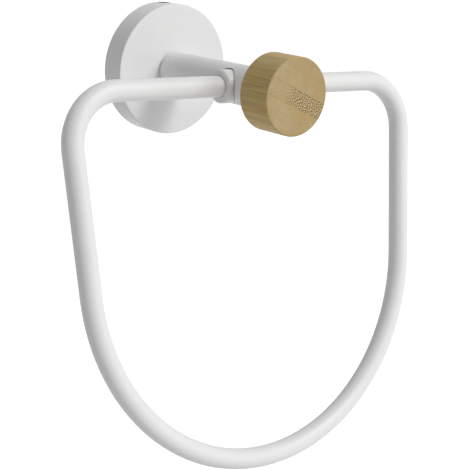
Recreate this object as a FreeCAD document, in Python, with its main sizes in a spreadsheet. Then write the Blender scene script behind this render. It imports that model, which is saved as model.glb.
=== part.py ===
"""Towel ring on a round wall rosette: a closed ring of bent bar, which swings and slides in a lined bore across
the post, with a bush on each side of it, and a bamboo disc on the post's front end.

Frame, in millimetres: the wall is the plane Y = 0 and the object stands out towards -Y. The origin is the
centre of the rosette on the wall, +X is to the right and +Z is up.
"""
import FreeCAD, Part
import math
import os

import Sketcher

# Driving dimensions: name, size in millimetres (or degrees), what it is
SIZES = [
    ("rosette_radius", 25.9, "outer radius of the round wall cover"),
    ("rosette_depth", 10.5, "how far its face stands off the wall"),
    ("rosette_rim_wall", 3.0, "thickness of the rim, which carries the grub screw's thread"),
    ("rosette_face_wall", 2.5, "thickness of the face that the post is screwed to"),
    ("rosette_edge_round", 0.5, "rounding of the front edge"),
    ("rosette_root_round", 1.0, "rounding inside, between rim and face"),
    ("bracket_clearance", 0.3, "gap between the wall bracket and the inside of the rim"),
    ("bracket_headroom", 2.0, "gap between the bracket's collar and the inside of the face"),
    ("bracket_web", 2.0, "thickness of the bracket's plate on the wall"),
    ("bracket_collar_wall", 2.5, "thickness of the bracket's collar"),
    ("bracket_opening_radius", 8.0, "central opening, round the head of the post screw"),
    ("slot_spacing", 28.0, "distance between the two wall screws"),
    ("slot_width", 4.5, "width of each slot"),
    ("slot_length", 7.5, "length of each slot from end to end"),
    ("grub_height", 3.3, "distance of the grub screw's axis from the wall"),
    ("grub_turn", 2.4, "how far left of the top the grub screw sits, in degrees round the rosette"),
    ("grub_radius", 1.5, "M3 grub screw"),
    ("grub_length", 4.0, "its length"),
    ("grub_tip_radius", 0.4, "flat on the cone point"),
    ("grub_key", 1.5, "width across the flats of its socket"),
    ("grub_recess_radius", 2.3, "shallow round recess in the rim, over the grub screw"),
    ("grub_recess_depth", 0.8, "depth of that recess"),
    ("thread_clearance", 0.05, "radial play between a screw and its tapped hole"),
    ("post_radius", 7.8, "radius of the post at its front end"),
    ("post_root_radius", 7.25, "its radius over the foot, from where it widens evenly to the front"),
    ("post_reach", 69.3, "distance of the post's front end from the wall"),
    ("post_foot_radius", 6.5, "radius of the narrower foot that seats on the rosette"),
    ("post_foot_height", 0.9, "height of that foot, which shows as a dark line"),
    ("spigot_radius", 5.0, "spigot that centres the post in the rosette's face"),
    ("spigot_flats", 8.0, "width across the two flats that stop the post turning"),
    ("spigot_setback", 0.3, "how far the spigot stops short of the inside of the face"),
    ("spigot_clearance", 0.05, "play round the spigot"),
    ("washer_radius", 6.2, "washer under the post screw's head"),
    ("washer_thickness", 1.2, "its thickness"),
    ("screw_radius", 3.0, "M6 post screw and stud"),
    ("screw_length", 14.0, "length of the post screw under its head"),
    ("screw_head_radius", 5.2, "radius of its head"),
    ("screw_head_height", 3.0, "height of its head"),
    ("screw_key", 4.0, "width across the flats of its socket"),
    ("screw_key_depth", 2.0, "depth of its socket"),
    ("tap_runout", 1.0, "free depth of a tapped hole past the screw's end"),
    ("pivot_setback", 17.7, "distance of the cross-bore's axis behind the post's front end"),
    ("pivot_drop", 0.6, "how far that axis lies below the post's own axis"),
    ("bar_clearance", 0.1, "play of the ring's bar in the liner"),
    ("liner_wall", 0.8, "wall of the liner that the bar runs in"),
    ("liner_clearance", 0.08, "play of the liner in post and bushes"),
    ("liner_end_play", 0.1, "play at each end of the liner"),
    ("bush_radius", 6.3, "outer radius of the bush in each side of the post"),
    ("bush_reach", 9.6, "distance of its face from the post's axis"),
    ("bush_face_wall", 1.2, "wall in front of the liner's end"),
    ("bush_opening_radius", 4.3, "opening in that wall, round the bar"),
    ("bush_back", 3.4, "distance of its back from the post's axis"),
    ("bush_gap", 0.5, "gap round it in the post's side, which shows as a dark line"),
    ("bush_foot_radius", 5.8, "narrower foot, which holds it in the post"),
    ("bush_foot_end", 2.2, "distance of the foot's end from the post's axis"),
    ("bush_edge_round", 0.8, "rounding of the bush's outer edge"),
    ("bar_radius", 4.0, "radius of the round bar that the ring is bent from"),
    ("ring_width", 160.5, "width of the ring between the middles of its bar"),
    ("ring_height", 143.0, "height of the ring between the middles of its bar"),
    ("corner_radius", 19.0, "bend at each end of the straight stretch, to the middle of the bar"),
    ("side_taper", 3.7, "how much each side leans inwards, in degrees"),
    ("rest_swing", 11.0, "how far the ring stands out from upright as shown, in degrees"),
    ("ring_shift", 5.6, "how far the ring has slid to the right as shown"),
    ("stud_in_post", 7.0, "depth of the stud in the post"),
    ("stud_in_disc", 8.0, "depth of the stud in the disc"),
    ("stud_chamfer", 0.5, "chamfer on the ends of the threads"),
    ("disc_radius", 14.4, "radius of the bamboo disc"),
    ("disc_thickness", 14.8, "its thickness"),
    ("disc_edge", 0.6, "rounding of its edges"),
]

doc = FreeCAD.newDocument("towel_ring")
sheet = doc.addObject("Spreadsheet::Sheet", "dims")
for row, (name, size, meaning) in enumerate(SIZES, start=1):
    sheet.set(f"A{row}", name)
    sheet.set(f"B{row}", str(size))
    sheet.set(f"C{row}", meaning)
    sheet.setAlias(f"B{row}", name)
doc.recompute()

# Places that several pieces share, written once as formulas of the sheet
FACE_INSIDE = "(dims.rosette_depth - dims.rosette_face_wall)"
RIM_INSIDE = "(dims.rosette_radius - dims.rosette_rim_wall)"
BRACKET_RADIUS = f"({RIM_INSIDE} - dims.bracket_clearance)"
GROOVE_DEPTH = "(dims.grub_radius - dims.grub_tip_radius)"
GROOVE_FLOOR = f"({BRACKET_RADIUS} - {GROOVE_DEPTH})"
PIVOT_REACH = "(dims.post_reach - dims.pivot_setback)"
LINER_BORE = "(dims.bar_radius + dims.bar_clearance)"
LINER_RADIUS = f"({LINER_BORE} + dims.liner_wall)"
CROSS_BORE = f"({LINER_RADIUS} + dims.liner_clearance)"
LINER_SEAT = "(dims.bush_reach - dims.bush_face_wall)"
WASHER_BACK = f"({FACE_INSIDE} - dims.washer_thickness)"
TAPPED = "(dims.screw_radius + dims.thread_clearance)"
DRILL_POINT = f"({TAPPED} * tan(31 deg))"


def value(formula):
    """The number that a formula of the sheet gives."""
    found = sheet.evalExpression(formula)
    return float(getattr(found, "Value", found))


def new_body(name):
    """A sub-part of its own, whose label is the name of its file."""
    body = doc.addObject("PartDesign::Body", name)
    body.Label = name
    return body


def origin_plane(body, role):
    return next(item for item in body.Origin.OriginFeatures if item.Role == role)


def new_sketch(body, name, role):
    sketch = body.newObject("Sketcher::SketchObject", f"{body.Name}_{name}")
    sketch.AttachmentSupport = [(origin_plane(body, role), "")]
    sketch.MapMode = "FlatFace"
    return sketch


def hold(sketch, geometry, point, axis, formula):
    """Ties one coordinate of a point of the sketch to a formula of the sheet."""
    if formula == "0":
        line = -2 if axis == "X" else -1
        sketch.addConstraint(Sketcher.Constraint("PointOnObject", geometry, point, line))
        return
    rule = Sketcher.Constraint("Distance" + axis, -1, 1, geometry, point, value(formula))
    sketch.setExpression(f"Constraints[{sketch.addConstraint(rule)}]", formula)


def outline(sketch, corners):
    """A closed outline of straight lines through corners that are formulas of the sheet."""
    spots = [FreeCAD.Vector(value(across), value(up), 0) for across, up in corners]
    first = sketch.GeometryCount
    count = len(spots)
    for i in range(count):
        sketch.addGeometry(Part.LineSegment(spots[i], spots[(i + 1) % count]), False)
    for i in range(count):
        sketch.addConstraint(Sketcher.Constraint("Coincident", first + i, 2, first + (i + 1) % count, 1))
    for i, (across, up) in enumerate(corners):
        hold(sketch, first + i, 1, "X", across)
        hold(sketch, first + i, 1, "Y", up)


def circle(sketch, across, up, radius):
    """A circle whose centre and radius are formulas of the sheet."""
    centre = FreeCAD.Vector(value(across), value(up), 0)
    ring = sketch.addGeometry(Part.Circle(centre, FreeCAD.Vector(0, 0, 1), value(radius)), False)
    hold(sketch, ring, 3, "X", across)
    hold(sketch, ring, 3, "Y", up)
    rule = sketch.addConstraint(Sketcher.Constraint("Radius", ring, value(radius)))
    sketch.setExpression(f"Constraints[{rule}]", radius)


def turned(body, name, corners, role="XY_Plane"):
    """Material turned about the body's own axis, which is the sketch's vertical one."""
    sketch = new_sketch(body, name + "_profile", role)
    outline(sketch, corners)
    feature = body.newObject("PartDesign::Revolution", f"{body.Name}_{name}")
    feature.Profile = sketch
    feature.ReferenceAxis = (sketch, ["V_Axis"])
    feature.Angle = 360
    doc.recompute()
    return feature


def bored(body, name, corners, role="XY_Plane"):
    """A hole turned out about the same axis."""
    sketch = new_sketch(body, name + "_profile", role)
    outline(sketch, corners)
    before = body.Shape.Volume
    feature = body.newObject("PartDesign::Groove", f"{body.Name}_{name}")
    feature.Profile = sketch
    feature.ReferenceAxis = (sketch, ["V_Axis"])
    feature.Angle = 360
    doc.recompute()
    assert body.Shape.Volume < before, feature.Name
    return feature


def cut(body, name, sketch, reverse=False, both_ways=False, depth=None):
    """A pocket cut by the sketch: through everything, or to a depth given as a formula."""
    before = body.Shape.Volume
    feature = body.newObject("PartDesign::Pocket", f"{body.Name}_{name}")
    feature.Profile = sketch
    feature.Reversed = reverse
    feature.Midplane = both_ways
    if depth is None:
        feature.Type = "ThroughAll"
    else:
        feature.Type = "Length"
        feature.setExpression("Length", depth)
    doc.recompute()
    assert body.Shape.Volume < before, feature.Name
    return feature


def round_edges(body, name, base, radius, wanted):
    """Rounds the circular edges of the base whose (radius, height along the axis) is wanted."""
    names = []
    for i, edge in enumerate(base.Shape.Edges, start=1):
        if isinstance(edge.Curve, Part.Circle) and wanted(edge.Curve.Radius, edge.Curve.Center):
            names.append(f"Edge{i}")
    feature = body.newObject("PartDesign::Fillet", f"{body.Name}_{name}")
    feature.Base = (base, names)
    feature.setExpression("Radius", radius)
    doc.recompute()
    return feature


def near(first, second):
    return abs(first - second) < 0.01


def towards_grub():
    """The turn about the post's axis that takes the top of the rosette to the grub screw."""
    turn = FreeCAD.Rotation(FreeCAD.Vector(0, -1, 0), value("dims.grub_turn"))
    return FreeCAD.Placement(FreeCAD.Vector(), turn)


def hexagon(across_flats):
    """Corners of a hexagonal socket with its flats at the sides."""
    half = f"({across_flats} / 2)"
    slope = f"({across_flats} / 2 * tan(30 deg))"
    point = f"({across_flats} / 2 / cos(30 deg))"
    return [
        (half, f"-{slope}"),
        (half, slope),
        ("0", point),
        (f"-{half}", slope),
        (f"-{half}", f"-{slope}"),
        ("0", f"-{point}"),
    ]


def key_outline(sketch, radius, flats):
    """A round outline with two upright flats, as the spigot and its hole have."""
    r = value(radius)
    half = value(flats) / 2
    top = math.sqrt(r * r - half * half)
    lean = math.atan2(top, half)
    whole = Part.Circle(FreeCAD.Vector(0, 0, 0), FreeCAD.Vector(0, 0, 1), r)
    right_flat = Part.LineSegment(FreeCAD.Vector(half, -top, 0), FreeCAD.Vector(half, top, 0))
    left_flat = Part.LineSegment(FreeCAD.Vector(-half, top, 0), FreeCAD.Vector(-half, -top, 0))
    right = sketch.addGeometry(right_flat, False)
    upper = sketch.addGeometry(Part.ArcOfCircle(whole, lean, math.pi - lean), False)
    left = sketch.addGeometry(left_flat, False)
    lower = sketch.addGeometry(Part.ArcOfCircle(whole, math.pi + lean, 2 * math.pi - lean), False)
    ring = [right, upper, left, lower]
    for i in range(4):
        sketch.addConstraint(Sketcher.Constraint("Coincident", ring[i], 2, ring[(i + 1) % 4], 1))
    for arc in (upper, lower):
        sketch.addConstraint(Sketcher.Constraint("Coincident", arc, 3, -1, 1))
    rule = sketch.addConstraint(Sketcher.Constraint("Radius", upper, r))
    sketch.setExpression(f"Constraints[{rule}]", radius)
    for side, sign in ((right, ""), (left, "-")):
        sketch.addConstraint(Sketcher.Constraint("Vertical", side))
        hold(sketch, side, 1, "X", f"{sign}({flats} / 2)")


def make_rosette():
    """Round cast cover: a face with a keyed hole for the post, and a rim with a tapped hole near the top."""
    body = new_body("rosette")
    cup = turned(body, "cup", [
        ("0", f"-{FACE_INSIDE}"),
        (RIM_INSIDE, f"-{FACE_INSIDE}"),
        (RIM_INSIDE, "0"),
        ("dims.rosette_radius", "0"),
        ("dims.rosette_radius", "-dims.rosette_depth"),
        ("0", "-dims.rosette_depth"),
    ])
    front = value("dims.rosette_radius")
    edge = round_edges(body, "front_edge", cup, "dims.rosette_edge_round",
                       lambda radius, centre: near(radius, front) and centre.y < -1)
    inside = value(RIM_INSIDE)
    round_edges(body, "inner_edge", edge, "dims.rosette_root_round",
                lambda radius, centre: near(radius, inside) and centre.y < -1)
    keyhole = new_sketch(body, "keyhole_profile", "XZ_Plane")
    key_outline(keyhole, "(dims.spigot_radius + dims.spigot_clearance)",
                "(dims.spigot_flats + 2 * dims.spigot_clearance)")
    cut(body, "keyhole", keyhole, both_ways=True)
    tapping = new_sketch(body, "grub_hole_profile", "XY_Plane")
    tapping.AttachmentOffset = towards_grub()
    tapping.setExpression("AttachmentOffset.Rotation.Angle", "dims.grub_turn * 1 deg")
    circle(tapping, "0", "-dims.grub_height", "(dims.grub_radius + dims.thread_clearance)")
    cut(body, "grub_hole", tapping, reverse=True)
    recess = new_sketch(body, "grub_recess_profile", "XY_Plane")
    recess.AttachmentOffset = towards_grub()
    recess.setExpression("AttachmentOffset.Rotation.Angle", "dims.grub_turn * 1 deg")
    floor = "(dims.rosette_radius - dims.grub_recess_depth)"
    recess.setExpression("AttachmentOffset.Base.x", f"-{floor} * sin(dims.grub_turn * 1 deg)")
    recess.setExpression("AttachmentOffset.Base.z", f"{floor} * cos(dims.grub_turn * 1 deg)")
    circle(recess, "0", "-dims.grub_height", "dims.grub_recess_radius")
    cut(body, "grub_recess", recess, reverse=True)
    return body


def make_wall_bracket():
    """Round bracket on the wall: a plate with two slots, and a collar whose groove takes the grub screw."""
    body = new_body("wall_bracket")
    collar_inside = f"({BRACKET_RADIUS} - dims.bracket_collar_wall)"
    height = f"({FACE_INSIDE} - dims.bracket_headroom)"
    low = f"(dims.grub_height - dims.grub_tip_radius)"
    high = f"(dims.grub_height + dims.grub_tip_radius)"
    turned(body, "dish", [
        ("dims.bracket_opening_radius", "0"),
        (BRACKET_RADIUS, "0"),
        (BRACKET_RADIUS, f"-({low} - {GROOVE_DEPTH})"),
        (GROOVE_FLOOR, f"-{low}"),
        (GROOVE_FLOOR, f"-{high}"),
        (BRACKET_RADIUS, f"-({high} + {GROOVE_DEPTH})"),
        (BRACKET_RADIUS, f"-{height}"),
        (collar_inside, f"-{height}"),
        (collar_inside, "-dims.bracket_web"),
        ("dims.bracket_opening_radius", "-dims.bracket_web"),
    ])
    slots = new_sketch(body, "slot_profile", "XZ_Plane")
    for side in ("-", ""):
        slot(slots, f"{side}(dims.slot_spacing / 2)")
    cut(body, "slots", slots, both_ways=True)
    return body


def slot(sketch, middle):
    """A round-ended slot that runs along X, centred at the given place."""
    centre = value(middle)
    half = value("dims.slot_width") / 2
    reach = value("dims.slot_length") / 2 - half
    up = FreeCAD.Vector(0, 0, 1)
    right_end = Part.Circle(FreeCAD.Vector(centre + reach, 0, 0), up, half)
    left_end = Part.Circle(FreeCAD.Vector(centre - reach, 0, 0), up, half)
    right = sketch.addGeometry(Part.ArcOfCircle(right_end, -math.pi / 2, math.pi / 2), False)
    top = sketch.addGeometry(Part.LineSegment(FreeCAD.Vector(centre + reach, half, 0),
                                              FreeCAD.Vector(centre - reach, half, 0)), False)
    left = sketch.addGeometry(Part.ArcOfCircle(left_end, math.pi / 2, 3 * math.pi / 2), False)
    bottom = sketch.addGeometry(Part.LineSegment(FreeCAD.Vector(centre - reach, -half, 0),
                                                 FreeCAD.Vector(centre + reach, -half, 0)), False)
    ring = [right, top, left, bottom]
    for i in range(4):
        sketch.addConstraint(Sketcher.Constraint("Tangent", ring[i], 2, ring[(i + 1) % 4], 1))
    run = "(dims.slot_length - dims.slot_width) / 2"
    hold(sketch, right, 3, "X", f"{middle} + {run}")
    hold(sketch, left, 3, "X", f"{middle} - {run}")
    hold(sketch, right, 3, "Y", "0")
    hold(sketch, left, 3, "Y", "0")
    rule = sketch.addConstraint(Sketcher.Constraint("Radius", right, half))
    sketch.setExpression(f"Constraints[{rule}]", "dims.slot_width / 2")


def make_grub_screw():
    """Socket grub screw in the top of the rim: its cone point sits in the bracket's groove."""
    body = new_body("grub_screw")
    tip = f"({GROOVE_FLOOR} + dims.thread_clearance)"
    top = f"({tip} + dims.grub_length)"
    bevel = "(dims.stud_chamfer / 2)"
    turned(body, "shank", [
        ("0", tip),
        ("dims.grub_tip_radius", tip),
        ("dims.grub_radius", f"{tip} + {GROOVE_DEPTH}"),
        ("dims.grub_radius", f"{top} - {bevel}"),
        (f"dims.grub_radius - {bevel}", top),
        ("0", top),
    ], role="XZ_Plane")
    socket = new_sketch(body, "socket_profile", "XY_Plane")
    socket.AttachmentOffset = FreeCAD.Placement(FreeCAD.Vector(0, 0, 1), FreeCAD.Rotation())
    socket.setExpression("AttachmentOffset.Base.z", top)
    outline(socket, hexagon("dims.grub_key"))
    cut(body, "socket", socket, depth="dims.grub_key")
    body.Placement = towards_grub()
    body.setExpression("Placement.Rotation.Angle", "dims.grub_turn * 1 deg")
    body.setExpression("Placement.Base.y", "-dims.grub_height")
    return body


def make_post():
    """Slightly tapered post on a narrower foot, with a keyed spigot, a thread at each end and a bore across."""
    body = new_body("post")
    turned(body, "bar", [
        ("0", f"-({FACE_INSIDE} + dims.spigot_setback)"),
        ("dims.spigot_radius", f"-({FACE_INSIDE} + dims.spigot_setback)"),
        ("dims.spigot_radius", "-dims.rosette_depth"),
        ("dims.post_foot_radius", "-dims.rosette_depth"),
        ("dims.post_foot_radius", "-(dims.rosette_depth + dims.post_foot_height)"),
        ("dims.post_root_radius", "-(dims.rosette_depth + dims.post_foot_height)"),
        ("dims.post_radius", "-dims.post_reach"),
        ("0", "-dims.post_reach"),
    ])
    flats = new_sketch(body, "flats_profile", "XZ_Plane")
    flats.AttachmentOffset = FreeCAD.Placement(FreeCAD.Vector(0, 0, 1), FreeCAD.Rotation())
    flats.setExpression("AttachmentOffset.Base.z", "dims.rosette_depth")
    beyond = "(dims.spigot_radius + 1)"
    for side in ("", "-"):
        outline(flats, [(f"{side}(dims.spigot_flats / 2)", f"-{beyond}"), (f"{side}{beyond}", f"-{beyond}"),
                        (f"{side}{beyond}", beyond), (f"{side}(dims.spigot_flats / 2)", beyond)])
    cut(body, "flats", flats)
    screw_end = f"({WASHER_BACK} + dims.screw_length + dims.tap_runout)"
    bored(body, "screw_hole", [
        ("0", "-dims.rosette_face_wall"),
        (TAPPED, "-dims.rosette_face_wall"),
        (TAPPED, f"-{screw_end}"),
        ("0", f"-({screw_end} + {DRILL_POINT})"),
    ])
    stud_end = "(dims.post_reach - dims.stud_in_post - dims.tap_runout)"
    bored(body, "stud_hole", [
        ("0", "-(dims.post_reach + 1)"),
        (TAPPED, "-(dims.post_reach + 1)"),
        (TAPPED, f"-{stud_end}"),
        ("0", f"-({stud_end} - {DRILL_POINT})"),
    ])
    across = new_sketch(body, "cross_bore_profile", "YZ_Plane")
    circle(across, f"-{PIVOT_REACH}", "-dims.pivot_drop", CROSS_BORE)
    cut(body, "cross_bore", across, both_ways=True)
    for side, sign in (("left", "-"), ("right", "")):
        for step, start, radius in (
            ("seat", "dims.bush_back", "(dims.bush_radius + dims.bush_gap)"),
            ("foot", "dims.bush_foot_end", "(dims.bush_foot_radius + dims.spigot_clearance)"),
        ):
            round_hole = new_sketch(body, f"{side}_{step}_profile", "YZ_Plane")
            round_hole.AttachmentOffset = FreeCAD.Placement(FreeCAD.Vector(0, 0, 1), FreeCAD.Rotation())
            round_hole.setExpression("AttachmentOffset.Base.z", sign + start)
            circle(round_hole, f"-{PIVOT_REACH}", "-dims.pivot_drop", radius)
            cut(body, f"{side}_{step}", round_hole, reverse=side == "right")
    return body


def make_post_washer():
    """Washer between the post screw's head and the inside of the rosette's face."""
    body = new_body("post_washer")
    turned(body, "disc", [
        (f"({TAPPED} + dims.spigot_clearance)", f"-{FACE_INSIDE}"),
        ("dims.washer_radius", f"-{FACE_INSIDE}"),
        ("dims.washer_radius", f"-{WASHER_BACK}"),
        (f"({TAPPED} + dims.spigot_clearance)", f"-{WASHER_BACK}"),
    ])
    return body


def make_post_screw():
    """Socket screw from behind, through the washer and the rosette into the post."""
    body = new_body("post_screw")
    head_back = f"({WASHER_BACK} - dims.screw_head_height)"
    end = f"({WASHER_BACK} + dims.screw_length)"
    turned(body, "shank", [
        ("0", f"-{head_back}"),
        ("dims.screw_head_radius - dims.stud_chamfer", f"-{head_back}"),
        ("dims.screw_head_radius", f"-({head_back} + dims.stud_chamfer)"),
        ("dims.screw_head_radius", f"-{WASHER_BACK}"),
        ("dims.screw_radius", f"-{WASHER_BACK}"),
        ("dims.screw_radius", f"-({end} - dims.stud_chamfer)"),
        ("dims.screw_radius - dims.stud_chamfer", f"-{end}"),
        ("0", f"-{end}"),
    ])
    socket = new_sketch(body, "socket_profile", "XZ_Plane")
    socket.AttachmentOffset = FreeCAD.Placement(FreeCAD.Vector(0, 0, 1), FreeCAD.Rotation())
    socket.setExpression("AttachmentOffset.Base.z", head_back)
    outline(socket, hexagon("dims.screw_key"))
    cut(body, "socket", socket, reverse=True, depth="dims.screw_key_depth")
    return body


def make_knob_stud():
    """Threaded stud that holds the bamboo disc on the post's front end."""
    body = new_body("knob_stud")
    back = "(dims.post_reach - dims.stud_in_post)"
    front = "(dims.post_reach + dims.stud_in_disc)"
    turned(body, "rod", [
        ("0", f"-{back}"),
        ("dims.screw_radius - dims.stud_chamfer", f"-{back}"),
        ("dims.screw_radius", f"-({back} + dims.stud_chamfer)"),
        ("dims.screw_radius", f"-({front} - dims.stud_chamfer)"),
        ("dims.screw_radius - dims.stud_chamfer", f"-{front}"),
        ("0", f"-{front}"),
    ])
    return body


def make_wood_disc():
    """Turned bamboo disc with softened edges and a blind hole for the stud."""
    body = new_body("wood_disc")
    front = "(dims.post_reach + dims.disc_thickness)"
    blank = turned(body, "blank", [
        ("0", "-dims.post_reach"),
        ("dims.disc_radius", "-dims.post_reach"),
        ("dims.disc_radius", f"-{front}"),
        ("0", f"-{front}"),
    ])
    rim = value("dims.disc_radius")
    round_edges(body, "edges", blank, "dims.disc_edge", lambda radius, centre: near(radius, rim))
    hole_end = "(dims.post_reach + dims.stud_in_disc + dims.tap_runout)"
    bored(body, "stud_hole", [
        ("0", "-(dims.post_reach - 1)"),
        (TAPPED, "-(dims.post_reach - 1)"),
        (TAPPED, f"-{hole_end}"),
        ("0", f"-({hole_end} + {DRILL_POINT})"),
    ])
    return body


def across_post(body, turn):
    """Takes a body that is drawn about its own upright axis to the cross-bore's axis, on either side."""
    body.Placement = FreeCAD.Placement(FreeCAD.Vector(), FreeCAD.Rotation(FreeCAD.Vector(0, 0, 1), turn))
    body.setExpression("Placement.Base.y", f"-{PIVOT_REACH}")
    body.setExpression("Placement.Base.z", "-dims.pivot_drop")


def make_bush(name, turn):
    """Bush sunk into the side of the post with a narrow gap round it, and held there by its narrower foot."""
    body = new_body(name)
    collar = turned(body, "collar", [
        (CROSS_BORE, "dims.bush_foot_end"),
        ("dims.bush_foot_radius", "dims.bush_foot_end"),
        ("dims.bush_foot_radius", "dims.bush_back"),
        ("dims.bush_radius", "dims.bush_back"),
        ("dims.bush_radius", "dims.bush_reach"),
        ("dims.bush_opening_radius", "dims.bush_reach"),
        ("dims.bush_opening_radius", LINER_SEAT),
        (CROSS_BORE, LINER_SEAT),
    ])
    rim = value("dims.bush_radius")
    height = value("dims.bush_reach")
    round_edges(body, "outer_edge", collar, "dims.bush_edge_round",
                lambda radius, centre: near(radius, rim) and near(centre.y, height))
    across_post(body, turn)
    return body


def make_liner():
    """Thin tube through post and bushes: it turns in them, and the ring's bar slides in it."""
    body = new_body("liner")
    end = f"({LINER_SEAT} - dims.liner_end_play)"
    turned(body, "tube", [
        (LINER_BORE, f"-{end}"),
        (LINER_RADIUS, f"-{end}"),
        (LINER_RADIUS, end),
        (LINER_BORE, end),
    ])
    across_post(body, 90)
    return body


def make_ring():
    """Closed ring of bent round bar: a straight top, two corners, two leaning sides and one round bottom."""
    body = new_body("ring")
    path = new_sketch(body, "path", "XZ_Plane")
    taper = math.radians(value("dims.side_taper"))
    bend = value("dims.corner_radius")
    height = value("dims.ring_height")
    corner = FreeCAD.Vector(value("dims.ring_width") / 2 - bend, -bend, 0)
    shoulder = corner + FreeCAD.Vector(bend * math.cos(taper), -bend * math.sin(taper), 0)
    reach = shoulder.x * math.cos(taper) - shoulder.y * math.sin(taper) - height * math.sin(taper)
    bowl = reach / (1 - math.sin(taper))
    bowl_centre = FreeCAD.Vector(0, bowl - height, 0)
    hip = bowl_centre + FreeCAD.Vector(bowl * math.cos(taper), -bowl * math.sin(taper), 0)
    up = FreeCAD.Vector(0, 0, 1)
    bar = path.addGeometry(Part.LineSegment(FreeCAD.Vector(0, 0, 0), FreeCAD.Vector(corner.x, 0, 0)), False)
    turn = path.addGeometry(Part.ArcOfCircle(Part.Circle(corner, up, bend), -taper, math.pi / 2), False)
    side = path.addGeometry(Part.LineSegment(hip, shoulder), False)
    base = path.addGeometry(Part.ArcOfCircle(Part.Circle(bowl_centre, up, bowl), -math.pi / 2, -taper), False)
    path.addConstraint(Sketcher.Constraint("Coincident", bar, 1, -1, 1))
    path.addConstraint(Sketcher.Constraint("Horizontal", bar))
    path.addConstraint(Sketcher.Constraint("Tangent", bar, 2, turn, 2))
    path.addConstraint(Sketcher.Constraint("Tangent", turn, 1, side, 2))
    path.addConstraint(Sketcher.Constraint("Tangent", side, 1, base, 2))
    hold(path, base, 3, "X", "0")
    hold(path, base, 1, "X", "0")
    hold(path, base, 1, "Y", "-dims.ring_height")
    hold(path, turn, 3, "X", "dims.ring_width / 2 - dims.corner_radius")
    radius_rule = path.addConstraint(Sketcher.Constraint("Radius", turn, bend))
    path.setExpression(f"Constraints[{radius_rule}]", "dims.corner_radius")
    lean_rule = path.addConstraint(Sketcher.Constraint("Angle", side, math.pi / 2 - taper))
    path.setExpression(f"Constraints[{lean_rule}]", "(90 - dims.side_taper) * 1 deg")
    section = new_sketch(body, "section", "YZ_Plane")
    circle(section, "0", "0", "dims.bar_radius")
    doc.recompute()
    half = body.newObject("PartDesign::AdditivePipe", "ring_half")
    half.Profile = section
    half.Spine = (path, [f"Edge{i}" for i in range(1, 5)])
    doc.recompute()
    whole = body.newObject("PartDesign::Mirrored", "ring_whole")
    whole.Originals = [half]
    whole.MirrorPlane = (origin_plane(body, "YZ_Plane"), [""])
    body.Tip = whole
    doc.recompute()
    swing = FreeCAD.Rotation(FreeCAD.Vector(-1, 0, 0), value("dims.rest_swing"))
    body.Placement = FreeCAD.Placement(FreeCAD.Vector(), swing)
    body.setExpression("Placement.Rotation.Angle", "dims.rest_swing * 1 deg")
    body.setExpression("Placement.Base.x", "dims.ring_shift")
    body.setExpression("Placement.Base.y", f"-{PIVOT_REACH}")
    body.setExpression("Placement.Base.z", "-dims.pivot_drop")
    return body


parts = [
    make_rosette(),
    make_wall_bracket(),
    make_grub_screw(),
    make_post(),
    make_post_washer(),
    make_post_screw(),
    make_knob_stud(),
    make_wood_disc(),
    make_bush("bush_left", 90),
    make_bush("bush_right", -90),
    make_liner(),
    make_ring(),
]
doc.recompute()

for item in doc.Objects:
    failed = {"Invalid", "Error"} & set(item.State)
    assert not failed, f"{item.Name}: {item.State}"
for body in parts:
    assert not body.Shape.isNull() and body.Shape.isValid(), body.Label

os.makedirs("parts", exist_ok=True)
for body in parts:
    body.Shape.exportStep(f"parts/{body.Label}.step")
    print(body.Label, "volume mm3", round(body.Shape.Volume, 1))
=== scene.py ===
# %% [markdown]
# # A white towel ring with a bamboo disc
# The object hangs on a wall: a round cover, a short post, a closed ring of bent bar and a bamboo disc. Its
# pieces come in as finished solids at their real size, so this lesson is about what is left: a camera that
# sees them as the photograph does, plain light, the finish of every surface, the screw threads, and the lips
# that close the bushes round the bar.

# %% Load the solids
import math

import bmesh
import bpy
from mathutils import Matrix, Vector


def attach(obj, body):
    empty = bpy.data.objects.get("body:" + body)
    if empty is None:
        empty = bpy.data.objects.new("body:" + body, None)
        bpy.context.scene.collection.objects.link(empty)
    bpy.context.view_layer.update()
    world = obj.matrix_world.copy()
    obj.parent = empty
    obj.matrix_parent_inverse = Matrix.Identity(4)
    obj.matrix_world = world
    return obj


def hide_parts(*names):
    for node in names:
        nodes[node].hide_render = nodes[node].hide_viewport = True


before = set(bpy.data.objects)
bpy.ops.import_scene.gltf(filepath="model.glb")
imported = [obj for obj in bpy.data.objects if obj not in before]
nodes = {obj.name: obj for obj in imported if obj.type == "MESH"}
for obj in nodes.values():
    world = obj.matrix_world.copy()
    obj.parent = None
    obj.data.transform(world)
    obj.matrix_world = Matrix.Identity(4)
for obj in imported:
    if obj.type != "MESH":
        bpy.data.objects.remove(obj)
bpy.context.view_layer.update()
scene = bpy.context.scene
MM = 0.001
print("pieces of the frame:", ", ".join(sorted(nodes)))

# %% [markdown]
# ## The camera
# The view was worked out from the outlines in the photograph: the camera stands left of the post, a little
# above it, and is held with a slight roll. Blender's camera looks along its own -Z with +Y up, so its matrix is
# three columns: to the right, up, and back towards the photographer. The lens is a long one, as in a product
# picture, so the near and the far side of the ring differ only a little in size.

# %% Place the camera
AZIMUTH, ELEVATION, ROLL = (math.radians(angle) for angle in (-40.39, 14.27, 3.98))
AIM = Vector((5.62, -48.75, -59.87)) * MM
DISTANCE = 486.12 * MM
FOCAL_PIXELS = 1240.16
FRAME_PIXELS = 470
SENSOR_WIDTH = 36

back = Vector((math.sin(AZIMUTH) * math.cos(ELEVATION),
               -math.cos(AZIMUTH) * math.cos(ELEVATION),
               math.sin(ELEVATION)))
level = Vector((math.cos(AZIMUTH), math.sin(AZIMUTH), 0))
upright = back.cross(level)
right = level * math.cos(ROLL) + upright * math.sin(ROLL)
up = upright * math.cos(ROLL) - level * math.sin(ROLL)

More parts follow.
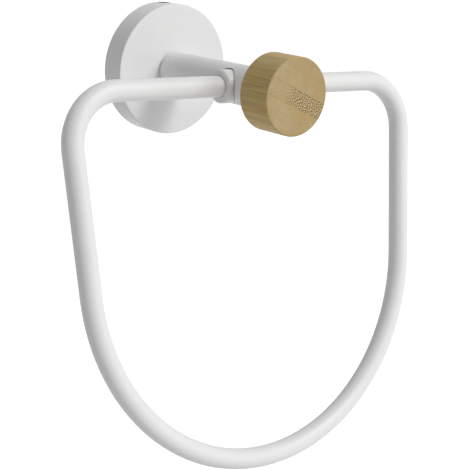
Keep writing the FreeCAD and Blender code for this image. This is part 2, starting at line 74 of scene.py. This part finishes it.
camera_data = bpy.data.cameras.new("camera")
camera_data.sensor_width = SENSOR_WIDTH
camera_data.lens = FOCAL_PIXELS * SENSOR_WIDTH / FRAME_PIXELS
camera_data.clip_start = 10 * MM
camera = bpy.data.objects.new("camera", camera_data)
scene.collection.objects.link(camera)
facing = Matrix((right, up, back)).transposed().to_4x4()
camera.matrix_world = Matrix.Translation(AIM + back * DISTANCE) @ facing
scene.camera = camera
print("lens", round(camera_data.lens, 2), "mm, camera at", [round(v, 3) for v in camera.location])

# %% [markdown]
# ## A white surround
# The photograph has a pure white background. White light from everywhere would flatten the object, so the world
# shows white only to the camera, to reflections and to what is seen through glass. Everything else sees a
# softer grey, which fills the shadows.

# %% Make the world
FILL_STRENGTH = 0.34
WHITE = (1, 1, 1, 1)

world = bpy.data.worlds.new("surround")
world.use_nodes = True
scene.world = world
tree = world.node_tree
tree.nodes.clear()


def add_node(tree, kind, inputs=(), **settings):
    """A node with its settings, and with values or links for its input sockets."""
    node = tree.nodes.new(kind)
    for name, setting in settings.items():
        setattr(node, name, setting)
    for socket, source in dict(inputs).items():
        if isinstance(source, bpy.types.NodeSocket):
            tree.links.new(source, node.inputs[socket])
        else:
            node.inputs[socket].default_value = source
    return node


def maths(tree, operation, first, second=0.0):
    """The result of one Math node, from values or links."""
    return add_node(tree, "ShaderNodeMath", {0: first, 1: second}, operation=operation).outputs[0]


def seen_directly(tree):
    """One where a ray comes from the camera, a reflection or clear glass, and zero for diffuse light."""
    path = add_node(tree, "ShaderNodeLightPath").outputs
    eye_or_mirror = maths(tree, "MAXIMUM", path["Is Camera Ray"], path["Is Glossy Ray"])
    return maths(tree, "MAXIMUM", eye_or_mirror, path["Is Transmission Ray"])


fill = add_node(tree, "ShaderNodeBackground", {"Color": WHITE, "Strength": FILL_STRENGTH})
white = add_node(tree, "ShaderNodeBackground", {"Color": WHITE, "Strength": 1.0})
mix = add_node(tree, "ShaderNodeMixShader",
               {0: seen_directly(tree), 1: fill.outputs[0], 2: white.outputs[0]})
add_node(tree, "ShaderNodeOutputWorld", {"Surface": mix.outputs[0]})
print("world: white to the eye,", FILL_STRENGTH, "as fill light")

# %% [markdown]
# ## The floor
# The ring hangs, so the floor lies well below it. It glows a little towards the camera and takes the rest of
# its white from the lamps, so that it looks white and still keeps a soft shadow.

# %% Lay the floor
FLOOR_HEIGHT = -0.45
FLOOR_SIZE = 12
FLOOR_PAINT = (0.8, 0.8, 0.8, 1)
FLOOR_GLOW = 0.75

bm = bmesh.new()
bmesh.ops.create_grid(bm, x_segments=1, y_segments=1, size=FLOOR_SIZE / 2)
bmesh.ops.translate(bm, verts=bm.verts, vec=(0, 0, FLOOR_HEIGHT))
floor_mesh = bpy.data.meshes.new("floor")
bm.to_mesh(floor_mesh)
bm.free()
floor = bpy.data.objects.new("floor", floor_mesh)
scene.collection.objects.link(floor)

floor_paint = bpy.data.materials.new("floor_paint")
floor_paint.use_nodes = True
tree = floor_paint.node_tree
tree.nodes.clear()
matt = add_node(tree, "ShaderNodeBsdfDiffuse", {"Color": FLOOR_PAINT})
glow_strength = maths(tree, "MULTIPLY", seen_directly(tree), FLOOR_GLOW)
glow = add_node(tree, "ShaderNodeEmission", {"Strength": glow_strength})
both = add_node(tree, "ShaderNodeAddShader", {0: matt.outputs[0], 1: glow.outputs[0]})
add_node(tree, "ShaderNodeOutputMaterial", {"Surface": both.outputs[0]})
floor_mesh.materials.append(floor_paint)
print("floor at", FLOOR_HEIGHT, "m")

# %% [markdown]
# ## Three soft lamps
# In the photograph the cover's face is nearly white, its left flank a mid grey, and the bar throws a soft shadow
# down and to the left. So the softboxes stand in front and to the right. The key light is halfway up, a second
# one stands below it, and a weak one further round and hardly above the object brightens its lower edges. They
# stand far enough away to light both sides of the ring alike, and are small enough for the shadow to keep its
# shape. The pale surround and the floor fill the rest.

# %% Hang the lamps
MIDDLE = Vector((0, -0.04, -0.05))
LAMP_DISTANCE = 4.0
LAMP_SIZE = 1.07
LAMPS = {"key": (25, 45, 63.0), "front": (25, 25, 30.0), "low": (45, 5, 8.0)}


def towards(side, height):
    """The unit vector towards a lamp: side degrees to the right of straight in front, height degrees up."""
    side, height = math.radians(side), math.radians(height)
    return Vector((math.sin(side) * math.cos(height), -math.cos(side) * math.cos(height), math.sin(height)))


def softbox(name, place, aim, size, power):
    """A square area lamp that the camera doesn't see, turned towards what it lights."""
    data = bpy.data.lights.new(name, "AREA")
    data.shape = "SQUARE"
    data.size = size
    data.energy = power
    lamp = bpy.data.objects.new(name, data)
    lamp.location = place
    lamp.rotation_euler = (aim - place).to_track_quat("-Z", "Y").to_euler()
    lamp.visible_camera = False
    scene.collection.objects.link(lamp)
    print("lamp", name, "at", [round(v, 2) for v in place], "with", power, "W")


for name, (side, height, power) in LAMPS.items():
    softbox(name, MIDDLE + towards(side, height) * LAMP_DISTANCE, MIDDLE, LAMP_SIZE, power)

# %% [markdown]
# ## Helpers for finishes
# Every finish below is a Principled shader with a few small nodes in front of it. What is the same all over a
# surface is set on the shader itself. What varies is worked out from the point's place on the piece, in metres,
# so a spot or a grain has its real size on every piece.

# %% Make the helpers


def new_finish(name, fixed):
    """A material, its node tree and its Principled shader, which has these fixed values."""
    material = bpy.data.materials.new(name)
    material.use_nodes = True
    tree = material.node_tree
    tree.nodes.clear()
    shader = add_node(tree, "ShaderNodeBsdfPrincipled", fixed)
    add_node(tree, "ShaderNodeOutputMaterial", {"Surface": shader.outputs[0]})
    return material, tree, shader


def connect(tree, source, shader, socket):
    """Plugs a result into one of the shader's sockets."""
    tree.links.new(source, shader.inputs[socket])


def object_place(tree):
    """The point on the piece, along the piece's own axes."""
    return add_node(tree, "ShaderNodeTexCoord").outputs["Object"]


def noise(tree, place, size, detail=2.0, roughness=0.5):
    """Noise whose spots are about as large as size."""
    return add_node(tree, "ShaderNodeTexNoise",
                    {"Vector": place, "Scale": 1 / size, "Detail": detail, "Roughness": roughness}).outputs[0]


def spread(tree, source, low, high, start=0.0, end=1.0):
    """The source between start and end, stretched over low to high."""
    limits = {"From Min": start, "From Max": end, "To Min": low, "To Max": high}
    return add_node(tree, "ShaderNodeMapRange", {"Value": source, **limits}).outputs[0]


def blend_colours(tree, factor, first, second):
    """The first colour where the factor is zero, and the second where it is one."""
    return add_node(tree, "ShaderNodeMix", {0: factor, 6: first, 7: second}, data_type="RGBA").outputs[2]


def bump(tree, relief, depth):
    """A normal for a relief that is depth high where its value is one."""
    return add_node(tree, "ShaderNodeBump", {"Height": relief, "Strength": 1.0, "Distance": depth}).outputs[0]


print("helpers for finishes are ready")

# %% [markdown]
# ## Powder coat
# The cover, post and ring are metal under a satin white powder coat. The powder melts into a film with
# a very fine orange peel, too small to see as bumps from a step away, but it softens every reflection. A second,
# larger noise varies the tone and the roughness a little where the film is thicker.

# %% Mix the powder coat
COAT_TONE = 0.82
THIN_COAT = (COAT_TONE * 0.985, COAT_TONE * 0.985, COAT_TONE * 0.98, 1)
THICK_COAT = (COAT_TONE, COAT_TONE, COAT_TONE * 0.998, 1)
FILM_SIZE = 12 * MM
PEEL_SIZE, PEEL_DEPTH = 0.9 * MM, 0.005 * MM

white_coat, tree, shader = new_finish("white_powder_coat", {"IOR": 1.5})
place = object_place(tree)
film = noise(tree, place, FILM_SIZE)
coat_colour = blend_colours(tree, spread(tree, film, 0, 1, 0.35, 0.65), THIN_COAT, THICK_COAT)
connect(tree, coat_colour, shader, "Base Color")
connect(tree, spread(tree, film, 0.40, 0.50, 0.3, 0.7), shader, "Roughness")
connect(tree, bump(tree, noise(tree, place, PEEL_SIZE, detail=1.0), PEEL_DEPTH), shader, "Normal")
print("powder coat:", white_coat.name, "with a peel of", round(PEEL_SIZE / MM, 2), "mm")

# %% [markdown]
# ## White plastic
# The bushes and the liner between them are moulded in a white plastic that lets the light in a little way, so
# their edges look softer than the coated metal beside them. The mould leaves a faint, even grain.

# %% Mix the plastic
ACETAL = {"Base Color": (0.81, 0.81, 0.80, 1), "IOR": 1.48, "Subsurface Weight": 0.15,
          "Subsurface Radius": (1.0, 0.95, 0.9), "Subsurface Scale": 0.3 * MM}
GRAIN_SIZE, GRAIN_DEPTH = 0.3 * MM, 0.003 * MM

plastic, tree, shader = new_finish("white_acetal", ACETAL)
grain = noise(tree, object_place(tree), GRAIN_SIZE, detail=1.0)
connect(tree, spread(tree, grain, 0.34, 0.42, 0.3, 0.7), shader, "Roughness")
connect(tree, bump(tree, grain, GRAIN_DEPTH), shader, "Normal")
print("plastic:", plastic.name)

# %% [markdown]
# ## Bamboo
# The disc is turned from laminated bamboo with the fibres along its axis. So its face shows end grain: strips
# about 6 mm thick, thin glue lines between them, and the cut fibre bundles, each a dark spot with a pale one
# beside it. They are dense and strong only in the outer part of a cane, which here is the right half of the
# middle strip. The flank shows the same wood lengthwise, darker and more yellow, with streaks along the axis.
#
# The pattern is worked out on the disc's own axes, turned to the slant of the strips: "along the strip",
# "across the strips" and the disc's axis. What should run along the fibres is squeezed along that axis, so its
# spots come out as long streaks.

# %% Find the strips of the bamboo
STRIP = 6.15 * MM
STRIP_START = -3.63 * MM
STRIP_TILT = math.radians(-23.2)
STREAK_SQUEEZE, SMEAR_SQUEEZE = 0.03, 0.25


def mapped(tree, place, **inputs):
    """The place after a Mapping node with this Location, Rotation or Scale."""
    return add_node(tree, "ShaderNodeMapping", {"Vector": place, **inputs}).outputs[0]


bamboo, tree, shader = new_finish("bamboo_end_and_side", {"IOR": 1.45})
coordinates = add_node(tree, "ShaderNodeTexCoord").outputs
slanted = mapped(tree, coordinates["Object"], Rotation=(0, STRIP_TILT, 0))
fibres = mapped(tree, slanted, Scale=(1, STREAK_SQUEEZE, 1))
axes = add_node(tree, "ShaderNodeSeparateXYZ", {0: slanted}).outputs
along_strip, across_strips = axes[0], axes[2]

strips = maths(tree, "DIVIDE", maths(tree, "SUBTRACT", across_strips, STRIP_START), STRIP)
strip_number = maths(tree, "FLOOR", strips)
middle_strip = maths(tree, "COMPARE", strip_number, 0.0)
to_joint = maths(tree, "MULTIPLY", maths(tree, "PINGPONG", strips, 0.5), STRIP)
print("strips of", round(STRIP / MM, 2), "mm")

# %% [markdown]
# The bundles are the cells of a Voronoi texture on the cut face: each cell is a round spot about 1 mm from the
# next. The pale spots are the same cells moved aside by 0.4 mm. A mask says where the spots are strong, a noise
# makes them uneven, and a tenth of their strength is left everywhere else.

# %% Scatter the bundles
BUNDLE = 1.0 * MM
PALE_SPOT_OFFSET = (0.34 * MM, -0.20 * MM, 0)
DENSE_FROM, DENSE_TO = -6.2 * MM, 1.5 * MM
CLUSTER = 2.2 * MM
SPARSE = 0.10


def vector_maths(tree, operation, first, second):
    """The result of one Vector Math node, from vectors or links."""
    return add_node(tree, "ShaderNodeVectorMath", {0: first, 1: second}, operation=operation).outputs[0]


def spots(place, size_low, size_high):
    """Round spots about one bundle apart: one in their middle, fading out between the two sizes."""
    cells = add_node(tree, "ShaderNodeTexVoronoi", {"Vector": place, "Scale": 1 / BUNDLE, "Randomness": 0.6},
                     voronoi_dimensions="2D")
    return spread(tree, cells.outputs["Distance"], 1, 0, size_low, size_high)


section = add_node(tree, "ShaderNodeCombineXYZ", {0: along_strip, 1: across_strips}).outputs[0]
dense = maths(tree, "MULTIPLY", middle_strip, spread(tree, along_strip, 0, 1, DENSE_FROM, DENSE_TO))
uneven = spread(tree, noise(tree, section, CLUSTER), 0.6, 1.3, 0.38, 0.62)
amount = maths(tree, "ADD", maths(tree, "MULTIPLY", dense, uneven), SPARSE)
dark_spots = maths(tree, "MULTIPLY", spots(section, 0.20, 0.46), amount)
beside = vector_maths(tree, "ADD", section, PALE_SPOT_OFFSET)
pale_spots = maths(tree, "MULTIPLY", spots(beside, 0.10, 0.32), amount)
print("bundles about", round(BUNDLE / MM, 2), "mm apart")

# %% [markdown]
# The end grain gets its colour in layers, from large to small: a tone for each strip with a fine mottle, a
# warmer tone in patches and towards the right, a shade where the bundles are dense, the bundles' dark and pale
# spots, and last the glue lines.

# %% Colour the end grain
END_PALE = (0.490, 0.375, 0.195, 1)
END_DEEP = (0.400, 0.300, 0.145, 1)
END_WARM = (0.425, 0.290, 0.108, 1)
SPOT_DARK = (0.105, 0.062, 0.018, 1)
SPOT_PALE = (0.780, 0.620, 0.330, 1)
GLUE_DARK = (0.160, 0.100, 0.035, 1)
MOTTLE, PATCH = 1.6 * MM, 9.0 * MM
WARM_FROM, WARM_TO = -13 * MM, 13 * MM
GLUE_CORE, GLUE_EDGE = 0.02 * MM, 0.20 * MM

tint = add_node(tree, "ShaderNodeTexWhiteNoise", {"W": strip_number}, noise_dimensions="1D").outputs[0]
mottle = noise(tree, fibres, MOTTLE, detail=4.0, roughness=0.6)
end_tone = maths(tree, "ADD", maths(tree, "MULTIPLY", tint, 0.35), spread(tree, mottle, 0, 0.65, 0.35, 0.7))
end_colour = blend_colours(tree, end_tone, END_PALE, END_DEEP)

patches = spread(tree, noise(tree, coordinates["Object"], PATCH), 0, 0.6, 0.38, 0.62)
rightwards = spread(tree, along_strip, -0.15, 0.5, WARM_FROM, WARM_TO)
end_colour = blend_colours(tree, maths(tree, "ADD", patches, rightwards), end_colour, END_WARM)

end_colour = blend_colours(tree, maths(tree, "MULTIPLY", dense, 0.14), end_colour, SPOT_DARK)
end_colour = blend_colours(tree, dark_spots, end_colour, SPOT_DARK)
end_colour = blend_colours(tree, pale_spots, end_colour, SPOT_PALE)

glue = spread(tree, to_joint, 1, 0, GLUE_CORE, GLUE_EDGE)
glue_strength = maths(tree, "ADD", maths(tree, "MULTIPLY", middle_strip, 0.35), 0.15)
end_colour = blend_colours(tree, maths(tree, "MULTIPLY", glue, glue_strength), end_colour, GLUE_DARK)
print("end grain coloured")

# %% [markdown]
# The flank has three layers: broad streaks in two yellow-browns, shorter olive smears, and fine dark fibres.

# %% Colour the flank
SIDE_PALE = (0.590, 0.430, 0.165, 1)
SIDE_DEEP = (0.440, 0.290, 0.095, 1)
SIDE_OLIVE = (0.470, 0.370, 0.125, 1)
FIBRE_DARK = (0.320, 0.195, 0.070, 1)
STREAK, SMEAR, FIBRE = 1.1 * MM, 3.5 * MM, 0.5 * MM
FIBRE_SHIFT = (0.05, 0, 0)

streaks = spread(tree, noise(tree, fibres, STREAK, detail=3.0, roughness=0.65), 0, 1, 0.36, 0.64)
side_colour = blend_colours(tree, streaks, SIDE_PALE, SIDE_DEEP)
smears = noise(tree, mapped(tree, slanted, Scale=(1, SMEAR_SQUEEZE, 1)), SMEAR)
side_colour = blend_colours(tree, spread(tree, smears, 0, 0.6, 0.45, 0.65), side_colour, SIDE_OLIVE)
fine = noise(tree, vector_maths(tree, "ADD", fibres, FIBRE_SHIFT), FIBRE)
side_colour = blend_colours(tree, spread(tree, fine, 0, 0.55, 0.52, 0.68), side_colour, FIBRE_DARK)
print("flank coloured")

# %% [markdown]
# The object's own normal tells the face from the flank: where it points along the disc's axis, it is end grain.
# The bundles are dimples only there, because on the flank they would be grooves.

# %% Put the bamboo together
WOOD_DEPTH = 0.02 * MM

normal = add_node(tree, "ShaderNodeSeparateXYZ", {0: coordinates["Normal"]}).outputs
end_grain = spread(tree, maths(tree, "ABSOLUTE", normal[1]), 0, 1, 0.5, 0.9)
connect(tree, blend_colours(tree, end_grain, side_colour, end_colour), shader, "Base Color")
connect(tree, spread(tree, mottle, 0.44, 0.60, 0.3, 0.7), shader, "Roughness")
relief = maths(tree, "SUBTRACT", mottle, maths(tree, "MULTIPLY", dark_spots, end_grain))
connect(tree, bump(tree, relief, WOOD_DEPTH), shader, "Normal")
print("bamboo mixed:", len(tree.nodes), "nodes")

# %% [markdown]
# ## Steel
# The screws are zinc-plated steel, and the small grub screw in the rim is darkened. The bracket is plain steel,
# faced on a lathe: fine rings run round its axis, which stretch the highlights sideways.

# %% Make the steels
CLOUD = 1.5 * MM
TOOL_MARK, TOOL_DEPTH = 0.25 * MM, 0.008 * MM
TURNED_DARK, TURNED_PALE = (0.50, 0.50, 0.50, 1), (0.62, 0.62, 0.61, 1)


def plated_steel(name, tone, rough):
    """Bright plated steel with faint clouds in its plating."""
    material, tree, shader = new_finish(name, {"Metallic": 1.0})
    cloud = noise(tree, object_place(tree), CLOUD, detail=4.0)
    bright, dull = (tone, tone, tone * 1.01, 1), (tone * 0.85, tone * 0.86, tone * 0.9, 1)
    connect(tree, blend_colours(tree, cloud, bright, dull), shader, "Base Color")
    connect(tree, spread(tree, cloud, rough - 0.06, rough + 0.06), shader, "Roughness")
    return material


def length_of(tree, vector):
    """How long a vector is."""
    return add_node(tree, "ShaderNodeVectorMath", {0: vector}, operation="LENGTH").outputs["Value"]


screw_steel = plated_steel("zinc_plated_steel", 0.62, 0.30)
black_steel = plated_steel("black_oxide_steel", 0.10, 0.34)

bracket_steel, tree, shader = new_finish("turned_steel", {"Metallic": 1.0})
from_axis = length_of(tree, vector_maths(tree, "MULTIPLY", object_place(tree), (1, 0, 1)))
rings = add_node(tree, "ShaderNodeTexNoise", {"W": from_axis, "Scale": 1 / TOOL_MARK, "Detail": 2.0},
                 noise_dimensions="1D").outputs[0]
connect(tree, blend_colours(tree, rings, TURNED_DARK, TURNED_PALE), shader, "Base Color")
connect(tree, spread(tree, rings, 0.28, 0.42), shader, "Roughness")
connect(tree, bump(tree, rings, TOOL_DEPTH), shader, "Normal")
print("steels:", screw_steel.name, black_steel.name, bracket_steel.name)

# %% [markdown]
# ## Turned pieces
# The solids of the three screws are plain rods, and those of the two bushes have plain openings. Each gets a
# detailed twin that takes its place. All are turned pieces, so one helper spins a profile about an axis. It
# then moves every point in or out to where a shape function puts it, which is how a screw gets its thread.

# %% Turn a profile
SIDES = 48
SAME_POINT = 0.001 * MM
ON_AXIS = 0.01 * MM


def lathe(profile, shape):
    """A closed solid of (radius, height) points turned about Z. Shape gives each point's final radius."""
    bm = bmesh.new()
    points = [bm.verts.new((radius, 0, height)) for radius, height in profile]
    chain = [bm.edges.new(pair) for pair in zip(points, points[1:])]
    bmesh.ops.spin(bm, geom=points + chain, axis=(0, 0, 1), cent=(0, 0, 0), dvec=(0, 0, 0),
                   angle=2 * math.pi, steps=SIDES, use_merge=True, use_duplicate=False)
    bmesh.ops.remove_doubles(bm, verts=bm.verts, dist=SAME_POINT)
    for vert in bm.verts:
        radius = math.hypot(vert.co.x, vert.co.y)
        if radius > ON_AXIS:
            angle = math.atan2(vert.co.y, vert.co.x)
            vert.co.xy = vert.co.xy * (shape(radius, vert.co.z, angle) / radius)
    bmesh.ops.recalc_face_normals(bm, faces=bm.faces)
    return bm


print("a lathe of", SIDES, "sides")

# %% [markdown]
# A second helper puts the turned mesh where the solid is, keeps the sharp edges sharp, gives it its finish,
# hides the solid it stands for, and hangs it on an empty for the body it rides on.

# %% Let a twin stand in
SHARP_FROM = math.radians(25)


def finish_piece(name, bm, placement, material, node, body):
    """Places the mesh, keeps its sharp edges sharp, and lets it stand in for the plain solid."""
    bmesh.ops.transform(bm, matrix=placement, verts=bm.verts)
    for face in bm.faces:
        face.smooth = True
    for edge in bm.edges:
        edge.smooth = edge.calc_face_angle(0.0) < SHARP_FROM
    mesh = bpy.data.meshes.new(name)
    bm.to_mesh(mesh)
    bm.free()
    mesh.materials.append(material)
    piece = bpy.data.objects.new(name, mesh)
    scene.collection.objects.link(piece)
    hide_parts(node)
    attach(piece, body)
    print(name, "with", len(mesh.polygons), "faces stands in for", node)


print("edges from", round(math.degrees(SHARP_FROM)), "degrees on stay sharp")

# %% [markdown]
# ## Screws with real threads
# A screw's shape function makes the helix of its thread, and the hexagonal socket out of a round one. A
# thread's flanks stand at 60 degrees, so a coarse thread is about 0.61 pitches deep. At both ends it fades out
# over one pitch.

# %% Cut threads and sockets
THREAD_STEPS = 10
THREAD_DEPTH = 0.61
FIT = 0.01 * MM


def hexagon_radius(flats, angle):
    """Distance from the middle to the side of a hexagon in the direction of the angle."""
    return flats / 2 / math.cos((angle + math.pi / 6) % (math.pi / 3) - math.pi / 6)


def helix(radius, pitch, start, end, height, angle):
    """The radius of a thread at a height and angle."""
    turn = (height / pitch - angle / (2 * math.pi)) % 1.0
    ridge = min(1.0, max(0.0, (1.0 - abs(2 * turn - 1) * 1.25) * 1.15))
    fade = min(1.0, max(0.0, (height - start) / pitch), max(0.0, (end - height) / pitch))
    return radius - THREAD_DEPTH * pitch * (1 - ridge) * fade


def run(radius, pitch, start, end):
    """Profile points along a threaded stretch, close enough for its helix."""
    count = math.ceil((end - start) / pitch * THREAD_STEPS)
    return [(radius, start + (end - start) * step / count) for step in range(count + 1)]


def screw(radius, pitch, start, end, flats=0.0, socket=(0.0, 0.0)):
    """The function that shapes a lathe's points: a helix from start to end, and a socket where it is deep."""
    def shape(distance, height, angle):
        if flats and distance < flats * 0.56 and socket[0] - FIT <= height <= socket[1] + FIT:
            return hexagon_radius(flats, angle)
        if start < height < end and abs(distance - radius) < FIT:
            return helix(radius, pitch, start, end, height, angle)
        return distance
    return shape


print("threads of", THREAD_STEPS, "steps in a pitch")

# %% [markdown]
# The post screw lies behind the rosette's face with its head towards the wall, so its own axis, from its head to
# its tip, is turned to point out of the wall. The stud has no head and goes half into the post and half into
# the disc.

# %% Put in the post screw and the stud
OUT_OF_WALL = Matrix.Rotation(math.radians(90), 4, "X")
M6_RADIUS, M6_PITCH = 3.0 * MM, 1.0 * MM
SCREW_START, SCREW_HEAD, SCREW_LENGTH = 3.8 * MM, 3.0 * MM, 14.0 * MM
HEAD_RADIUS, HEAD_KEY, KEY_DEPTH = 5.2 * MM, 4.0 * MM, 2.0 * MM
CHAMFER = 0.5 * MM

head_profile = [(0, KEY_DEPTH), (HEAD_KEY / 2, KEY_DEPTH), (HEAD_KEY / 2, 0), (HEAD_RADIUS - CHAMFER, 0),
                (HEAD_RADIUS, CHAMFER), (HEAD_RADIUS, SCREW_HEAD)]
tip = SCREW_HEAD + SCREW_LENGTH
shank = run(M6_RADIUS, M6_PITCH, SCREW_HEAD, tip - CHAMFER)
bm = lathe(head_profile + shank + [(M6_RADIUS - CHAMFER, tip), (0, tip)],
           screw(M6_RADIUS, M6_PITCH, SCREW_HEAD + M6_PITCH, tip - CHAMFER, HEAD_KEY, (0, KEY_DEPTH)))
placement = Matrix.Translation((0, -SCREW_START, 0)) @ OUT_OF_WALL
finish_piece("post_screw_detail", bm, placement, screw_steel, "post_screw", "wall_mount")

STUD_START, STUD_LENGTH = 62.3 * MM, 15.0 * MM
rod = run(M6_RADIUS, M6_PITCH, CHAMFER, STUD_LENGTH - CHAMFER)
bm = lathe([(0, 0), (M6_RADIUS - CHAMFER, 0)] + rod + [(M6_RADIUS - CHAMFER, STUD_LENGTH), (0, STUD_LENGTH)],
           screw(M6_RADIUS, M6_PITCH, CHAMFER, STUD_LENGTH - CHAMFER))
placement = Matrix.Translation((0, -STUD_START, 0)) @ OUT_OF_WALL
finish_piece("knob_stud_detail", bm, placement, screw_steel, "knob_stud", "wall_mount")

# %% [markdown]
# The grub screw is the only one that shows from the front. It sits in the rosette's rim, a little left of the
# top, with its cone point in the bracket's groove and its socket facing up and out.

# %% Put in the grub screw
GRUB_TURN = math.radians(2.4)
GRUB_FROM_WALL = 3.3 * MM
GRUB_POINT, GRUB_LENGTH = 21.55 * MM, 4.0 * MM
GRUB_RADIUS, GRUB_PITCH = 1.5 * MM, 0.5 * MM
GRUB_TIP_RADIUS, GRUB_KEY = 0.4 * MM, 1.5 * MM
GRUB_CHAMFER = 0.25 * MM

cone_end = GRUB_RADIUS - GRUB_TIP_RADIUS
socket_floor = GRUB_LENGTH - GRUB_KEY
thread = run(GRUB_RADIUS, GRUB_PITCH, cone_end, GRUB_LENGTH - GRUB_CHAMFER)
socket = [(GRUB_KEY / 2, GRUB_LENGTH), (GRUB_KEY / 2, socket_floor), (0, socket_floor)]
bm = lathe([(0, 0), (GRUB_TIP_RADIUS, 0)] + thread + [(GRUB_RADIUS - GRUB_CHAMFER, GRUB_LENGTH)] + socket,
           screw(GRUB_RADIUS, GRUB_PITCH, cone_end, GRUB_LENGTH - GRUB_CHAMFER, GRUB_KEY,
                 (socket_floor, GRUB_LENGTH)))
placement = Matrix.Rotation(GRUB_TURN, 4, (0, -1, 0)) @ Matrix.Translation((0, -GRUB_FROM_WALL, GRUB_POINT))
finish_piece("grub_screw_detail", bm, placement, black_steel, "grub_screw", "wall_mount")

# %% [markdown]
# ## Bushes with a lip
# Where the bar enters a bush, the photograph shows no dark gap: a thin lip closes in on the bar and wipes it as
# it slides. The solids have a plain opening there, so each bush gets a twin with the lip. Its profile starts at
# the foot inside the post, goes up the outside, over the rounded edge and across the face, and back down inside.

# %% Turn the bushes
PIVOT_REACH, PIVOT_DROP = 51.6 * MM, 0.6 * MM
BUSH_BORE, BUSH_FOOT, BUSH_RADIUS = 4.98 * MM, 5.8 * MM, 6.3 * MM
FOOT_END, BUSH_BACK, LINER_SEAT, BUSH_FACE = 2.2 * MM, 3.4 * MM, 8.4 * MM, 9.6 * MM
BUSH_ROUND, LIP_ROUND = 0.8 * MM, 0.15 * MM
LIP_RADIUS, LIP_BACK = 4.07 * MM, 8.8 * MM
ROUND_STEPS = 6


def quarter(middle, size, start):
    """Points of a quarter circle about a (radius, height), from start degrees on."""
    angles = [math.radians(start + 90 * step / ROUND_STEPS) for step in range(ROUND_STEPS + 1)]
    return [(middle[0] + size * math.cos(angle), middle[1] + size * math.sin(angle)) for angle in angles]


def as_drawn(radius, height, angle):
    """The shape function of a piece without a thread."""
    return radius


foot = [(BUSH_BORE, FOOT_END), (BUSH_FOOT, FOOT_END), (BUSH_FOOT, BUSH_BACK), (BUSH_RADIUS, BUSH_BACK)]
outer_edge = quarter((BUSH_RADIUS - BUSH_ROUND, BUSH_FACE - BUSH_ROUND), BUSH_ROUND, 0)
lip = quarter((LIP_RADIUS + LIP_ROUND, BUSH_FACE - LIP_ROUND), LIP_ROUND, 90)
inside = [(LIP_RADIUS, LIP_BACK), (BUSH_BORE, LINER_SEAT), (BUSH_BORE, FOOT_END)]
for name, side in (("bush_left", -90), ("bush_right", 90)):
    bm = lathe(foot + outer_edge + lip + inside, as_drawn)
    placement = Matrix.Translation((0, -PIVOT_REACH, -PIVOT_DROP)) @ Matrix.Rotation(math.radians(side), 4, "Y")
    finish_piece(name + "_detail", bm, placement, plastic, name, "wall_mount")

# %% [markdown]
# ## Bare metal and painted shade in the recess
# The screw's hole is drilled and tapped after coating, so its recess is bare metal. That metal is painted far
# darker than bare steel, as painted shade for the shadow inside the hole, and it shows as a dark dot on the
# white rim. The cover gets its own copy of the powder coat, with a mask that is one near the screw's axis, from
# the inside of the rim up to just below its surface.

# %% Bare the recess and paint its shade
RECESS_RADIUS = 2.4 * MM
RECESS_FROM, RECESS_TO = 20.0 * MM, 25.75 * MM
# Bare metal painted nearly black: painted shade for the inside of the screw's hole.
BARE_METAL_AND_SHADE = (0.22, 0.22, 0.21, 1)

cover_coat = white_coat.copy()
cover_coat.name = "white_powder_coat_bare_shaded_recess"
tree = cover_coat.node_tree
shader = next(node for node in tree.nodes if node.type == "BSDF_PRINCIPLED")
from_screw = mapped(tree, object_place(tree), Location=(0, GRUB_FROM_WALL, 0), Rotation=(0, GRUB_TURN, 0))
height = add_node(tree, "ShaderNodeSeparateXYZ", {0: from_screw}).outputs[2]
from_axis = length_of(tree, vector_maths(tree, "MULTIPLY", from_screw, (1, 1, 0)))
# The mask marks where the recess gets the dark metal and painted shade.
bare_and_shade = maths(tree, "LESS_THAN", from_axis, RECESS_RADIUS)
bare_and_shade = maths(tree, "MULTIPLY", bare_and_shade, maths(tree, "GREATER_THAN", height, RECESS_FROM))
bare_and_shade = maths(tree, "MULTIPLY", bare_and_shade, maths(tree, "LESS_THAN", height, RECESS_TO))
coat_colour = shader.inputs["Base Color"].links[0].from_socket
connect(tree, blend_colours(tree, bare_and_shade, coat_colour, BARE_METAL_AND_SHADE), shader, "Base Color")
connect(tree, bare_and_shade, shader, "Metallic")
print("bare recess of", round(2 * RECESS_RADIUS / MM, 1), "mm in", cover_coat.name)

# %% [markdown]
# ## Finishes for the solids
# The other solids keep their shapes and get their finish. A solid that a twin replaces is hidden, but it gets
# its finish as well, so that nothing in the file is left bare.

# %% Dress the solids
FINISHES = {
    "rosette": cover_coat,
    "post": white_coat,
    "ring": white_coat,
    "bush_left": plastic,
    "bush_right": plastic,
    "liner": plastic,
    "wood_disc": bamboo,
    "wall_bracket": bracket_steel,
    "grub_screw": black_steel,
    "post_washer": screw_steel,
    "post_screw": screw_steel,
    "knob_stud": screw_steel,
}
for name, finish in FINISHES.items():
    nodes[name].data.materials.clear()
    nodes[name].data.materials.append(finish)
print("dressed", len(FINISHES), "solids")

# %% [markdown]
# ## Last steps
# Standard colours keep the white background white.

# %% Hand over
scene.view_settings.view_transform = "Standard"
